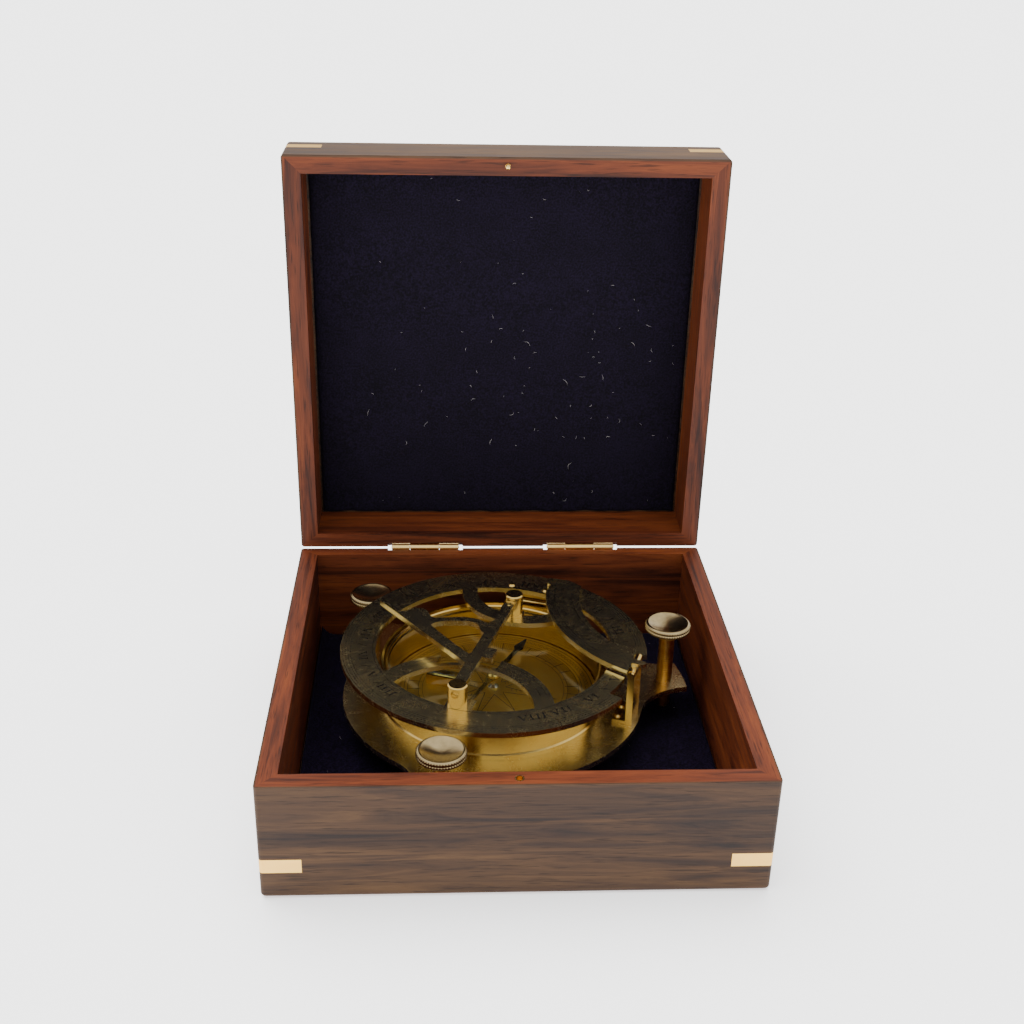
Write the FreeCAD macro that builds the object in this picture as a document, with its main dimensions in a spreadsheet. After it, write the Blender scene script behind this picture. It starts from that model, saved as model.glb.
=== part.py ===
"""Boxed inclining sundial with compass: a hinged, velvet-lined wooden box and the brass dial that lies in it.

Millimetres. +Z is up and +X is right, seen from the front of the box. The origin is the middle of the box's
underside. The lid stands open and the dial lies folded. The dial has a frame of its own, turned in the box,
in which +Y points to noon (XII) and +X to the east.
"""
import FreeCAD, Part
import math
import os
import re

DOC = FreeCAD.newDocument("boxed_inclining_sundial")
V = FreeCAD.Vector
UP = V(0, 0, 1)

# ---------------------------------------------------------------- driving dimensions
DIMENSIONS = [
    # box
    ("box_width", 160.0), ("box_depth", 155.6), ("base_height", 42.3), ("lid_height", 23.4),
    ("side_wall", 6.7), ("back_wall", 5.7), ("corner_round", 1.2), ("edge_round", 1.8), ("lid_gap", 1.07),
    ("floor_thick", 4.0), ("velvet_thick", 2.0), ("velvet_gap", 0.8), ("lid_recess", 18.6),
    ("lid_velvet_thick", 1.4), ("lid_open", 89.15),
    ("inlay_tall", 5.0), ("inlay_long", 13.2), ("inlay_thick", 0.9), ("inlay_base_low", 10.0),
    ("inlay_lid_low", 55.7),
    # box hinges and catch
    ("leaf_long", 26.8), ("leaf_wide", 6.0), ("leaf_thick", 0.5), ("hinge_left", -30.4),
    ("hinge_right", 32.15), ("barrel_rad", 1.35), ("barrel_room", 1.65), ("groove_spare", 1.6),
    ("middle_from", 0.27), ("middle_to", 0.71), ("pin_rad", 0.6),
    ("pin_play", 0.05), ("knuckle_gap", 0.15), ("brad_rad", 0.5), ("brad_long", 4.5), ("brad_deep", 4.0),
    ("catch_x", -0.1), ("ball_rad", 0.95), ("socket_rad", 1.5), ("ball_play", 0.15), ("stem_rad", 0.55),
    # the dial's place in the box
    ("dial_x", -5.1), ("dial_y", 8.04), ("dial_turn", 19.6),
    # base plate and levelling screws
    ("plate_low", 17.5), ("plate_thick", 2.0), ("plate_rad", 54.4), ("ear_rad", 71.6),
    ("east_ear", 27.6), ("west_ear", 156.4), ("south_ear", -87.8),
    ("east_reach", 64.7), ("west_reach", 62.6), ("south_reach", 62.6),
    ("east_top", 42.9), ("west_top", 37.0), ("south_top", 37.0),
    ("screw_rad", 2.85), ("screw_play", 0.05), ("screw_tip", 6.1), ("knob_rad", 8.4), ("knob_thick", 3.3),
    # compass
    ("bowl_rad", 40.6), ("bowl_top", 34.2), ("bowl_wall", 2.6), ("bowl_floor", 1.0),
    ("glass_low", 31.4), ("glass_thick", 0.9), ("glass_rad", 39.3), ("keeper_inner", 38.1),
    ("card_rad", 37.6), ("card_thick", 0.6), ("needle_high", 25.9), ("needle_thick", 0.4),
    ("needle_reach", 28.8), ("needle_half", 1.7), ("cap_rad", 2.0), ("needle_turn", 8.1),
    ("level_long", 12.0), ("level_wide", 5.0), ("level_x", -18.0), ("level_y", -2.8), ("vial_rad", 1.7),
    # hour ring
    ("ring_top", 39.2), ("ring_thick", 1.8), ("ring_rad", 54.8), ("ring_inner", 42.3),
    ("south_web_y", -42.1), ("south_web_outer", 33.2), ("south_web_inner", 26.3), ("web_bridge", 28.0),
    ("north_web_y", 42.0), ("north_web_outer", 24.8), ("north_web_inner", 19.0),
    ("notch_rad", 49.7), ("notch_from", -20.2), ("notch_to", 11.3),
    ("tilt_y", 48.0), ("tilt_z", 31.2), ("tilt_barrel", 1.9), ("tilt_pin", 0.9), ("tilt_half", 9.0),
    ("tilt_knuckle", 3.85), ("bracket_thick", 1.4), ("rivet_x", 6.8), ("rivet_y", 44.4), ("rivet_rad", 1.0),
    # gnomon and its posts
    ("pivot_z", 44.7), ("post_tall", 8.0), ("front_post_y", -39.9), ("back_post_y", 24.6),
    ("post_rad", 3.35), ("journal_rad", 1.22), ("post_bore", 1.3), ("gnomon_thick", 2.0),
    # latitude arc and its bracket
    ("arc_x", 68.0), ("arc_y", 54.0), ("arc_outer", 61.5), ("arc_inner_x", 69.0), ("arc_inner_y", 52.0),
    ("arc_inner", 49.2), ("arc_thick", 2.0),
    ("fold_x", 51.5), ("fold_z", 40.35), ("fold_barrel", 1.45), ("fold_pin", 0.7),
    ("stop_clear", 1.3), ("stop_thick", 1.2), ("stop_back", 0.9), ("stop_reach", 3.4),
    ("stop_half", 1.4), ("stop_y", -0.5),
    ("prop_thick", 2.3), ("prop_from", -5.4), ("prop_to", 6.8), ("prop_foot", 7.0),
]
SHEET = DOC.addObject("Spreadsheet::Sheet", "sizes")
for row, (alias, value) in enumerate(DIMENSIONS, start=1):
    SHEET.set(f"A{row}", alias)
    SHEET.set(f"B{row}", str(value))
    SHEET.setAlias(f"B{row}", alias)
DOC.recompute()
SIZE = {alias: float(SHEET.get(alias)) for alias, _ in DIMENSIONS}
PIECES = []


def s(alias):
    """The value of one cell of the sheet."""
    return SIZE[alias]


def bind(thing, **formulas):
    """Tie properties of a document object to formulas over the sheet's cells."""
    for name, formula in formulas.items():
        thing.setExpression(name.replace("__", "."), sheet_words(formula))
    return thing


def sheet_words(formula):
    """The formula with each alias written as sizes.alias."""
    def full_name(word):
        return "sizes." + word.group() if word.group() in SIZE else word.group()

    return re.sub(r"[a-z_]+", full_name, formula)


def piece(thing, label):
    """Name a finished sub-part; its label is its node's name."""
    thing.Label = label
    PIECES.append(thing)
    return thing


# ---------------------------------------------------------------- shapes shared by many pieces
def block(name, length, width, height, at):
    """A box with its sizes bound to formulas; at gives the formulas of its low corner."""
    box = DOC.addObject("Part::Box", name)
    bind(box, Length=length, Width=width, Height=height)
    bind(box, Placement__Base__x=at[0], Placement__Base__y=at[1], Placement__Base__z=at[2])
    return box


def rod(name, radius, height, at=("0", "0", "0"), along=None):
    """A cylinder with bound sizes, standing along Z or lying along another direction."""
    can = DOC.addObject("Part::Cylinder", name)
    bind(can, Radius=radius, Height=height)
    if along is not None:
        can.Placement.Rotation = FreeCAD.Rotation(UP, along)
    bind(can, Placement__Base__x=at[0], Placement__Base__y=at[1], Placement__Base__z=at[2])
    return can


def cone(name, low_radius, top_radius, height, at):
    """A bound cone frustum along Z."""
    tip = DOC.addObject("Part::Cone", name)
    bind(tip, Radius1=low_radius, Radius2=top_radius, Height=height)
    bind(tip, Placement__Base__x=at[0], Placement__Base__y=at[1], Placement__Base__z=at[2])
    return tip


def cut(name, base, *tools):
    """base without the tools."""
    tool = tools[0] if len(tools) == 1 else join(name + "_tools", *tools)
    result = DOC.addObject("Part::Cut", name)
    result.Base = base
    result.Tool = tool
    return result


def join(name, *parts):
    """One fused solid, with the seams between flush faces removed."""
    result = DOC.addObject("Part::MultiFuse", name)
    result.Shapes = list(parts)
    result.Refine = True
    return result


def both(name, *parts):
    """What the parts share."""
    result = DOC.addObject("Part::MultiCommon", name)
    result.Shapes = list(parts)
    return result


def group(name, *parts):
    """Separate solids kept side by side in one sub-part."""
    result = DOC.addObject("Part::Compound", name)
    result.Links = list(parts)
    return result


def sketched(label, plane, edges, height=None):
    """A new body with one sketch of the given edges on its own XY or XZ plane."""
    body = DOC.addObject("PartDesign::Body", label)
    sketch = body.newObject("Sketcher::SketchObject", label + "_outline")
    planes = [feature for feature in body.Origin.OriginFeatures if feature.Role == plane]
    sketch.AttachmentSupport = [(planes[0], "")]
    sketch.MapMode = "FlatFace"
    if height is not None:
        bind(sketch, AttachmentOffset__Base__z=height)
    for edge in edges:
        sketch.addGeometry(edge, False)
    DOC.recompute()
    return body, sketch


def plate(label, edges, height, thickness):
    """A flat piece: the closed outline lies at one height and is padded upwards."""
    body, sketch = sketched(label, "XY_Plane", edges, height)
    pad = body.newObject("PartDesign::Pad", label + "_plate")
    pad.Profile = sketch
    bind(pad, Length=thickness)
    DOC.recompute()
    return body


def turned(label, profile):
    """A lathe-turned piece: the closed profile of (radius, height) points goes round the Z axis."""
    body, sketch = sketched(label, "XZ_Plane", path(profile, closed=True))
    turn = body.newObject("PartDesign::Revolution", label + "_turning")
    turn.Profile = sketch
    turn.ReferenceAxis = (sketch, ["V_Axis"])
    turn.Angle = 360
    DOC.recompute()
    return body


def path(points, closed=False):
    """Straight edges through (x, y) points."""
    corners = [V(x, y, 0) for x, y in points]
    if closed:
        corners.append(corners[0])
    return [Part.LineSegment(a, b) for a, b in zip(corners, corners[1:])]


def arc(a, b, c):
    """The circular edge from a to c through b."""
    return Part.Arc(V(*a, 0), V(*b, 0), V(*c, 0))


def curve(points):
    """A smooth edge through (x, y) points."""
    spline = Part.BSplineCurve()
    spline.interpolate([V(x, y, 0) for x, y in points])
    return spline


def polar(radius, degrees):
    """The (x, y) point at a radius and an angle from east."""
    angle = math.radians(degrees)
    return (radius * math.cos(angle), radius * math.sin(angle))


# ---------------------------------------------------------------- the wooden box
def rounded_block(name, low, height, inset, soft_end=None):
    """The box's outline, moved in by inset, between two heights, with its upright edges rounded.

    soft_end, 0 for the lower and 1 for the upper end, also rounds the edges all round that end.
    """
    raw = block(name + "_square", f"box_width - 2 * {inset}", f"box_depth - 2 * {inset}", height,
                (f"{inset} - box_width / 2", f"{inset} - box_depth / 2", low))
    DOC.recompute()
    radius = s("corner_round") - inset
    level = None if soft_end is None else (raw.Shape.BoundBox.ZMin, raw.Shape.BoundBox.ZMax)[soft_end]
    fillets = []
    for number, edge in enumerate(raw.Shape.Edges, start=1):
        if abs(edge.tangentAt(edge.FirstParameter).z) > 0.99:
            fillets.append((number, radius, radius))
        elif level is not None and abs(edge.CenterOfMass.z - level) < 0.01:
            fillets.append((number, s("edge_round"), s("edge_round")))
    rounded = DOC.addObject("Part::Fillet", name)
    rounded.Base = raw
    rounded.Edges = fillets
    return rounded


def corner_inlays(label, low):
    """Four brass strips let in flush round the box's corners, one solid each."""
    band = cut(label + "_band", rounded_block(label + "_outer", low, "inlay_tall", 0.0),
               rounded_block(label + "_inner", low, "inlay_tall", s("inlay_thick")))
    keep_x = block(label + "_middle_x", "box_width - 2 * inlay_long", "box_depth + 2", "inlay_tall + 2",
                   ("inlay_long - box_width / 2", "-1 - box_depth / 2", f"{low} - 1"))
    keep_y = block(label + "_middle_y", "box_width + 2", "box_depth - 2 * inlay_long", "inlay_tall + 2",
                   ("-1 - box_width / 2", "inlay_long - box_depth / 2", f"{low} - 1"))
    return cut(label, band, keep_x, keep_y)


def mitred_wall(label, side, low, height, soft_end, removed):
    """One wall of a box frame, mitred at both ends and softened at one, less the pieces let into it."""
    half_x, half_y = s("box_width") / 2, s("box_depth") / 2
    r, t, b = s("corner_round"), s("side_wall"), s("back_wall")

    def corner(sign_x, sign_y):
        inner = (sign_x * (half_x - t), sign_y * (half_y - (b if sign_y > 0 else t)))
        centre = (sign_x * (half_x - r), sign_y * (half_y - r))
        step = (centre[0] - inner[0], centre[1] - inner[1])
        length = math.hypot(*step)
        mitre = (centre[0] + r * step[0] / length, centre[1] + r * step[1] / length)
        return inner, centre, mitre

    def quarter(centre, mitre, end):
        middle = ((mitre[0] + end[0]) / 2 - centre[0], (mitre[1] + end[1]) / 2 - centre[1])
        length = math.hypot(*middle)
        return (centre[0] + r * middle[0] / length, centre[1] + r * middle[1] / length)

    ends = {"front": ((-1, -1), (1, -1)), "back": ((1, 1), (-1, 1)),
            "left": ((-1, 1), (-1, -1)), "right": ((1, -1), (1, 1))}[side]
    first, second = corner(*ends[0]), corner(*ends[1])
    if side in ("front", "back"):
        tangent = [(part[1][0], math.copysign(half_y, part[1][1])) for part in (first, second)]
    else:
        tangent = [(math.copysign(half_x, part[1][0]), part[1][1]) for part in (first, second)]
    edges = path([first[0], first[2]])
    edges.append(arc(first[2], quarter(first[1], first[2], tangent[0]), tangent[0]))
    edges += path(tangent)
    edges.append(arc(tangent[1], quarter(second[1], second[2], tangent[1]), second[2]))
    edges += path([second[2], second[0], first[0]])
    wall = both(label + "_softened", plate(label + "_blank", edges, low, height),
                rounded_block(label + "_outline", low, height, 0.0, soft_end))
    return cut(label, wall, *removed)


HINGE_Y = "box_depth / 2"
HINGE_Z = "base_height + lid_gap / 2"
HINGE_CENTRES = (("left", "hinge_left"), ("right", "hinge_right"))
LID_TURN = FreeCAD.Placement(V(0, 0, 0), FreeCAD.Rotation(V(1, 0, 0), -s("lid_open")),
                             V(0, s("box_depth") / 2, s("base_height") + s("lid_gap") / 2))
LID_RIM = "( base_height + lid_gap )"


def on_lid(thing, label):
    """Swing a lid piece from its closed place, in which it is drawn, to the open lid."""
    holder = DOC.addObject("Part::Compound", label + "_open")
    holder.Links = [thing]
    holder.Placement = LID_TURN
    return piece(holder, label)


def along_x(name, radius, start, length):
    """A rod on the hinge's axis, from start, of some length."""
    return rod(name, radius, length, (start, HINGE_Y, HINGE_Z), V(1, 0, 0))


def share(number, centre):
    """The place along a hinge at a share of its length."""
    return f"( {centre} + ( {number} - 0.5 ) * leaf_long )"


def kerf_leaf(name, centre, low, tongue_low, tongue_high, own, others):
    """One hinge leaf, upright in the thickness of its wall, with its knuckles round the pin's axis.

    own and others are the shares of the length that this leaf's and the other leaf's knuckles take.
    """
    face = f"{HINGE_Y} - barrel_rad"
    parts = [block(name + "_flat", "leaf_long", "leaf_thick", "leaf_wide", (share(0, centre), face, low))]
    for number, (begin, end) in enumerate(own):
        start = f"{share(begin, centre)} + knuckle_gap / 2"
        length = f"( {end} - {begin} ) * leaf_long - knuckle_gap"
        parts.append(block(f"{name}_tongue_{number}", length, "leaf_thick", f"{tongue_high} - {tongue_low}",
                           (start, face, tongue_low)))
        parts.append(along_x(f"{name}_knuckle_{number}", "barrel_rad", start, length))
    relief = [along_x(f"{name}_relief_{number}", "barrel_rad + knuckle_gap",
                      f"{share(begin, centre)} - knuckle_gap / 2",
                      f"( {end} - {begin} ) * leaf_long + knuckle_gap")
              for number, (begin, end) in enumerate(others)]
    bore = along_x(name + "_bore", "pin_rad + pin_play" if len(own) == 1 else "pin_rad",
                   f"{share(0, centre)} - 1", "leaf_long + 2")
    return cut(name, join(name + "_solid", *parts), bore, *relief)


def leaf_brads(name, height):
    """The small brads driven through the back face and both hinges' leaves, as separate solids."""
    brads = []
    for side, centre in HINGE_CENTRES:
        for place in (0.2, 0.8):
            tag = f"{name}_{side}_{len(brads)}"
            brads.append(rod(tag, "brad_rad", "brad_long",
                             (share(place, centre), f"{HINGE_Y} - brad_long", height), V(0, 1, 0)))
    return group(name, *brads)


def barrel_grooves(name):
    """The grooves that both rims need for the barrels."""
    return [along_x(f"{name}_{side}", "barrel_room", f"{share(0, centre)} - groove_spare",
                    "leaf_long + 2 * groove_spare") for side, centre in HINGE_CENTRES]


MIDDLE = [("middle_from", "middle_to")]
OUTER = [("0", "middle_from"), ("middle_to", "1")]
base_brads = leaf_brads("base_brad_set", "base_height - brad_deep")
lid_brads = leaf_brads("lid_brad_set", f"{LID_RIM} + brad_deep")
base_leaves, lid_leaves = {}, {}
for side, centre in HINGE_CENTRES:
    base_leaves[side] = kerf_leaf(f"base_leaf_{side}", centre, "base_height - leaf_wide",
                                  "( base_height - 0.5 )", HINGE_Z, OUTER, MIDDLE)
    lid_leaves[side] = kerf_leaf(f"lid_leaf_{side}", centre, LID_RIM, HINGE_Z, f"( {LID_RIM} + 0.5 )",
                                 MIDDLE, OUTER)
base_inlays = corner_inlays("base_inlay_set", "inlay_base_low")
lid_inlays = corner_inlays("lid_inlay_set", "inlay_lid_low")
FRONT_MIDDLE = "side_wall / 2 - box_depth / 2"
socket_body = rod("socket_body", "socket_rad", "3.6", ("catch_x", FRONT_MIDDLE, "base_height - 3.6"))
socket_hole = rod("socket_hole", "ball_rad + ball_play", "3", ("catch_x", FRONT_MIDDLE, "base_height - 2.6"))
socket = cut("catch_socket_bush", socket_body, socket_hole)
ball_stem = rod("ball_stem", "stem_rad", "7", ("catch_x", FRONT_MIDDLE, f"{LID_RIM} - 1"))
ball = DOC.addObject("Part::Sphere", "ball_head")
bind(ball, Radius="ball_rad", Placement__Base__x="catch_x", Placement__Base__y=FRONT_MIDDLE,
     Placement__Base__z=f"{LID_RIM} - 1.3")
catch_ball = join("catch_ball", ball_stem, ball)
collar = rod("ball_collar", "ball_rad", "1.2", ("catch_x", FRONT_MIDDLE, LID_RIM))
catch_pin = join("catch_pin", catch_ball, collar)

for side in ("front", "back", "left", "right"):
    let_in = [base_inlays]
    if side == "front":
        let_in.append(rod("socket_seat", "socket_rad", "3.6", ("catch_x", FRONT_MIDDLE, "base_height - 3.6")))
    if side == "back":
        let_in += [base_brads, *base_leaves.values(), *barrel_grooves("base_groove")]
    piece(mitred_wall(f"base_{side}_board", side, "0", "base_height", 0, let_in), f"base_{side}_wall")
    let_in = [lid_inlays]
    if side == "front":
        let_in.append(catch_pin)
    if side == "back":
        let_in += [lid_brads, *lid_leaves.values(), *barrel_grooves("lid_groove")]
    on_lid(mitred_wall(f"lid_{side}_rail", side, LID_RIM, "lid_height", 1, let_in), f"lid_{side}_wall")

piece(base_inlays, "base_corner_inlays")
on_lid(lid_inlays, "lid_corner_inlays")
piece(base_brads, "base_hinge_brads")
on_lid(lid_brads, "lid_hinge_brads")
piece(socket, "catch_socket")
on_lid(catch_pin, "catch_ball_stud")

INNER_X = "side_wall - box_width / 2"
INNER_Y = "side_wall - box_depth / 2"
INNER_WIDE = "box_width - 2 * side_wall"
INNER_DEEP = "box_depth - side_wall - back_wall"
piece(block("floor_board", INNER_WIDE, INNER_DEEP, "floor_thick", (INNER_X, INNER_Y, "0")),
      "base_floor_panel")
piece(block("floor_cloth", f"{INNER_WIDE} - 2 * velvet_gap", f"{INNER_DEEP} - 2 * velvet_gap", "velvet_thick",
            (f"{INNER_X} + velvet_gap", f"{INNER_Y} + velvet_gap", "floor_thick")), "base_velvet_lining")
LID_CLOTH_LOW = f"{LID_RIM} + lid_recess"
on_lid(block("lid_cloth", f"{INNER_WIDE} - 2 * velvet_gap", f"{INNER_DEEP} - 2 * velvet_gap",
             "lid_velvet_thick", (f"{INNER_X} + velvet_gap", f"{INNER_Y} + velvet_gap", LID_CLOTH_LOW)),
       "lid_velvet_lining")
on_lid(block("lid_board", INNER_WIDE, INNER_DEEP, "lid_height - lid_recess - lid_velvet_thick",
             (INNER_X, INNER_Y, f"{LID_CLOTH_LOW} + lid_velvet_thick")), "lid_top_panel")

for side, centre in HINGE_CENTRES:
    piece(cut(f"base_leaf_{side}_drilled", base_leaves[side], base_brads), f"base_hinge_leaf_{side}")
    on_lid(cut(f"lid_leaf_{side}_drilled", lid_leaves[side], lid_brads), f"lid_hinge_leaf_{side}")
    piece(along_x(f"box_pin_{side}", "pin_rad", f"{share(0, centre)} - 0.2", "leaf_long + 0.4"),
          f"box_hinge_pin_{side}")


# ---------------------------------------------------------------- the dial's frame
DIAL = FreeCAD.Placement(V(s("dial_x"), s("dial_y"), 0), FreeCAD.Rotation(UP, -s("dial_turn")))


def on_dial(thing, label, x=0.0, y=0.0, z=0.0, turn=0.0):
    """Put a piece drawn in the dial's own frame, or at a place in it, into the box."""
    holder = DOC.addObject("Part::Compound", label + "_placed")
    holder.Links = [thing]
    holder.Placement = DIAL.multiply(FreeCAD.Placement(V(x, y, z), FreeCAD.Rotation(UP, turn)))
    return piece(holder, label)


PLATE_TOP = "( plate_low + plate_thick )"
EARS = (("east", s("east_ear"), s("east_reach")), ("west", s("west_ear"), s("west_reach")),
        ("south", s("south_ear"), s("south_reach")))
EAR_HALF, EAR_NECK, EAR_WAIST, EAR_ROOT = 6.6, 9.2, 13.0, 21.0


def ear_flank(centre, sign):
    """The ogee side of an ear, from the disc out to its pointed corner."""
    stations = ((s("plate_rad"), EAR_ROOT), (57.4, EAR_WAIST), (62.0, EAR_NECK), (s("ear_rad"), EAR_HALF))
    return [polar(radius, centre + sign * angle) for radius, angle in stations]


def base_plate_edges():
    """The disc with its three ears, anticlockwise from the east ear."""
    edges = []
    order = sorted((centre % 360 for _, centre, _ in EARS))
    for number, centre in enumerate(order):
        rising, falling = ear_flank(centre, -1), ear_flank(centre, 1)[::-1]
        after = order[(number + 1) % 3] + (360 if number == 2 else 0)
        rim_start, rim_end = centre + EAR_ROOT, after - EAR_ROOT
        edges.append(curve(rising))
        edges.append(arc(rising[-1], polar(s("ear_rad"), centre), falling[0]))
        edges.append(curve(falling))
        edges.append(arc(polar(s("plate_rad"), rim_start), polar(s("plate_rad"), (rim_start + rim_end) / 2),
                         polar(s("plate_rad"), rim_end)))
    return edges


plate_blank = plate("plate_blank", base_plate_edges(), "plate_low", "plate_thick")
screw_holes = []
for side, angle, reach in EARS:
    x, y = polar(reach, angle)
    screw_holes.append(rod(f"{side}_screw_hole", "screw_rad + screw_play", "plate_thick + 2",
                           (f"{x}", f"{y}", "plate_low - 1")))

# small fixing screws: bowl from below, the two brackets from above
def fixing_screw(name, x, y, head_low, downwards, shank):
    """A round-headed screw; downwards drives its shank towards -Z."""
    if downwards:
        stem = rod(name + "_stem", "0.8", f"{shank} + 0.1", (x, y, f"{head_low} - {shank}"))
        head = cone(name + "_head", "1.6", "1.2", "0.8", (x, y, head_low))
    else:
        stem = rod(name + "_stem", "0.8", f"{shank} + 0.1", (x, y, f"{head_low} + 0.7"))
        head = cone(name + "_head", "1.2", "1.6", "0.8", (x, y, head_low))
    return join(name, stem, head)


bowl_screws = group("bowl_screw_set", *[
    fixing_screw(f"bowl_screw_{angle}", *[f"{value}" for value in polar(22.0, angle)],
                 "plate_low - 0.8", False, "2.6") for angle in (30, 150, 270)])
TILT_FOOT_Y = 45.0
tilt_screws = group("tilt_screw_set", *[
    fixing_screw(f"tilt_screw_{side}", f"{x}", f"{TILT_FOOT_Y}", f"{PLATE_TOP} + bracket_thick", True, "3")
    for side, x in (("a", -5.5), ("b", 5.5))])
PROP_SCREW_X = 47.2
prop_screws = group("prop_screw_set", *[
    fixing_screw(f"prop_screw_{side}", f"{PROP_SCREW_X}", f"{y}", f"{PLATE_TOP} + bracket_thick", True, "3")
    for side, y in (("a", -2.4), ("b", 3.8))])
on_dial(cut("drilled_plate", plate_blank, *screw_holes, bowl_screws, tilt_screws, prop_screws), "base_plate")
on_dial(bowl_screws, "bowl_screws")
on_dial(tilt_screws, "ring_bracket_screws")
on_dial(prop_screws, "latitude_bracket_screws")

for side, angle, reach in EARS:
    x, y = polar(reach, angle)
    top = s(f"{side}_top")
    under = top - s("knob_thick")
    radius, r = s("screw_rad"), s("knob_rad")
    tip = s("screw_tip")
    shaft = turned(f"{side}_shaft_turning",
                   [(0, tip), (1.0, tip), (radius, tip + 2.2), (radius, under), (0, under)])
    on_dial(shaft, f"{side}_levelling_screw", x, y)
    dish = [(0, under), (r - 0.8, under), (r, under + 0.7), (r, top - 0.7), (r - 0.5, top - 0.1),
            (r - 1.0, top), (4.2, top - 0.85), (0, top - 1.15)]
    on_dial(turned(f"{side}_knob_turning", dish), f"{side}_screw_knob", x, y)


# ---------------------------------------------------------------- the compass
plate_top = s("plate_low") + s("plate_thick")
bowl_r, bowl_in = s("bowl_rad"), s("bowl_rad") - s("bowl_wall")
glass_low, bowl_top = s("glass_low"), s("bowl_top")
seat = s("glass_rad") + 0.1
bowl_floor = plate_top + s("bowl_floor")
bowl_blank = turned("bowl_turning", [
    (0, plate_top), (bowl_r + 0.5, plate_top), (bowl_r + 0.5, plate_top + 0.9), (bowl_r, plate_top + 1.4),
    (bowl_r, bowl_top - 0.3), (bowl_r - 0.3, bowl_top), (seat, bowl_top), (seat, glass_low),
    (bowl_in, glass_low), (bowl_in, bowl_floor), (0, bowl_floor)])
on_dial(cut("bowl_drilled", bowl_blank, bowl_screws), "compass_bowl")
card_top = bowl_floor + s("card_thick")
on_dial(turned("card_turning", [(0, bowl_floor), (s("card_rad"), bowl_floor), (s("card_rad"), card_top),
                                (0, card_top)]), "compass_dial")
glass_top = glass_low + s("glass_thick")
on_dial(turned("glass_turning", [(0, glass_low), (s("glass_rad"), glass_low), (s("glass_rad"), glass_top),
                                 (0, glass_top)]), "compass_glass")
keeper_in, keeper_out = s("keeper_inner"), s("glass_rad")
on_dial(turned("keeper_turning", [(keeper_in, glass_top), (keeper_out, glass_top),
                                  (keeper_out, glass_top + 0.9), (keeper_in + 0.5, glass_top + 1.3),
                                  (keeper_in, glass_top + 0.9)]), "glass_retaining_ring")
needle_low = s("needle_high")
needle_top = needle_low + s("needle_thick")
on_dial(turned("pivot_turning", [(0, card_top), (1.9, card_top), (1.9, card_top + 0.8), (0.6, card_top + 1.4),
                                 (0.5, needle_low - 0.4), (0, needle_top + 0.6)]), "needle_pivot")
cap_r = s("cap_rad")
cap = turned("cap_turning", [(1.2, needle_low - 0.5), (cap_r, needle_low - 0.5), (cap_r, needle_top + 0.5),
                             (1.1, needle_top + 1.6), (0, needle_top + 1.9), (0, needle_top + 1.0),
                             (0.75, needle_top + 0.2)])
on_dial(cap, "needle_cap")
reach, half = s("needle_reach"), s("needle_half")
needle_edges = path([(0.25, -reach), (1.0, -reach + 4.5), (0.55, -reach + 5.5), (half * 0.55, -5.0),
                     (half + 0.9, 0), (half * 0.55, 5.0), (0.8, reach - 9.0), (1.9, reach - 7.0),
                     (0.15, reach), (-0.15, reach), (-1.9, reach - 7.0), (-0.8, reach - 9.0),
                     (-half * 0.55, 5.0), (-half - 0.9, 0), (-half * 0.55, -5.0), (-0.55, -reach + 5.5),
                     (-1.0, -reach + 4.5), (-0.25, -reach)], closed=True)
needle_blank = plate("needle_blank", needle_edges, "needle_high", "needle_thick")
needle_hole = rod("needle_hole", "cap_rad", "3", ("0", "0", "needle_high - 1"))
on_dial(cut("needle_pierced", needle_blank, needle_hole), "compass_needle", turn=-s("needle_turn"))

LEVEL_LOW = "( plate_low + plate_thick + bowl_floor + card_thick )"
trough = block("trough_block", "level_long", "level_wide", "3.9",
               ("level_x - level_long / 2", "level_y - level_wide / 2", LEVEL_LOW))
vial_at = ("level_x - level_long / 2 + 1", "level_y", f"{LEVEL_LOW} + 3.3")
vial = rod("vial_glass", "vial_rad", "level_long - 2", vial_at, V(1, 0, 0))
trough_bed = rod("trough_bed", "vial_rad", "level_long - 2", vial_at, V(1, 0, 0))
trough_mouth = block("trough_mouth", "level_long - 2", "2 * vial_rad", "3",
                     ("level_x - level_long / 2 + 1", "level_y - vial_rad", f"{LEVEL_LOW} + 3.3"))
on_dial(cut("trough", trough, trough_bed, trough_mouth), "level_holder")
on_dial(vial, "level_vial")


# ---------------------------------------------------------------- the hour ring's hinge
def across(name, radius, start, length):
    """A rod on the ring hinge's axis, which runs east-west."""
    return rod(name, radius, length, (start, "tilt_y", "tilt_z"), V(1, 0, 0))


SKIN = "tilt_y - bracket_thick / 2"
foot = block("tilt_foot", "2 * tilt_half", "tilt_y + bracket_thick / 2 - 42.6", "bracket_thick",
             ("-tilt_half", "42.6", PLATE_TOP))
upright = block("tilt_upright", "2 * tilt_half", "bracket_thick", f"tilt_z - {PLATE_TOP}",
                ("-tilt_half", SKIN, PLATE_TOP))
window = block("tilt_window", "2 * tilt_knuckle + 0.3", "bracket_thick + 2", "6",
               ("-tilt_knuckle - 0.15", f"{SKIN} - 1", "tilt_z - 2.3"))
OUTER_KNUCKLE = "tilt_half - tilt_knuckle - 0.15"
bracket_solid = join("tilt_bracket_solid", foot, upright,
                     across("tilt_barrel_west", "tilt_barrel", "-tilt_half", OUTER_KNUCKLE),
                     across("tilt_barrel_east", "tilt_barrel", "tilt_knuckle + 0.15", OUTER_KNUCKLE))
bracket_bore = across("tilt_bracket_bore", "tilt_pin", "-tilt_half - 1", "2 * tilt_half + 2")
on_dial(cut("tilt_bracket", bracket_solid, window, tilt_screws, bracket_bore), "ring_hinge_bracket")
pin_head = [across("tilt_pin_rod", "tilt_pin", "-tilt_half - 0.6", "2 * tilt_half + 1.2")]
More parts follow.
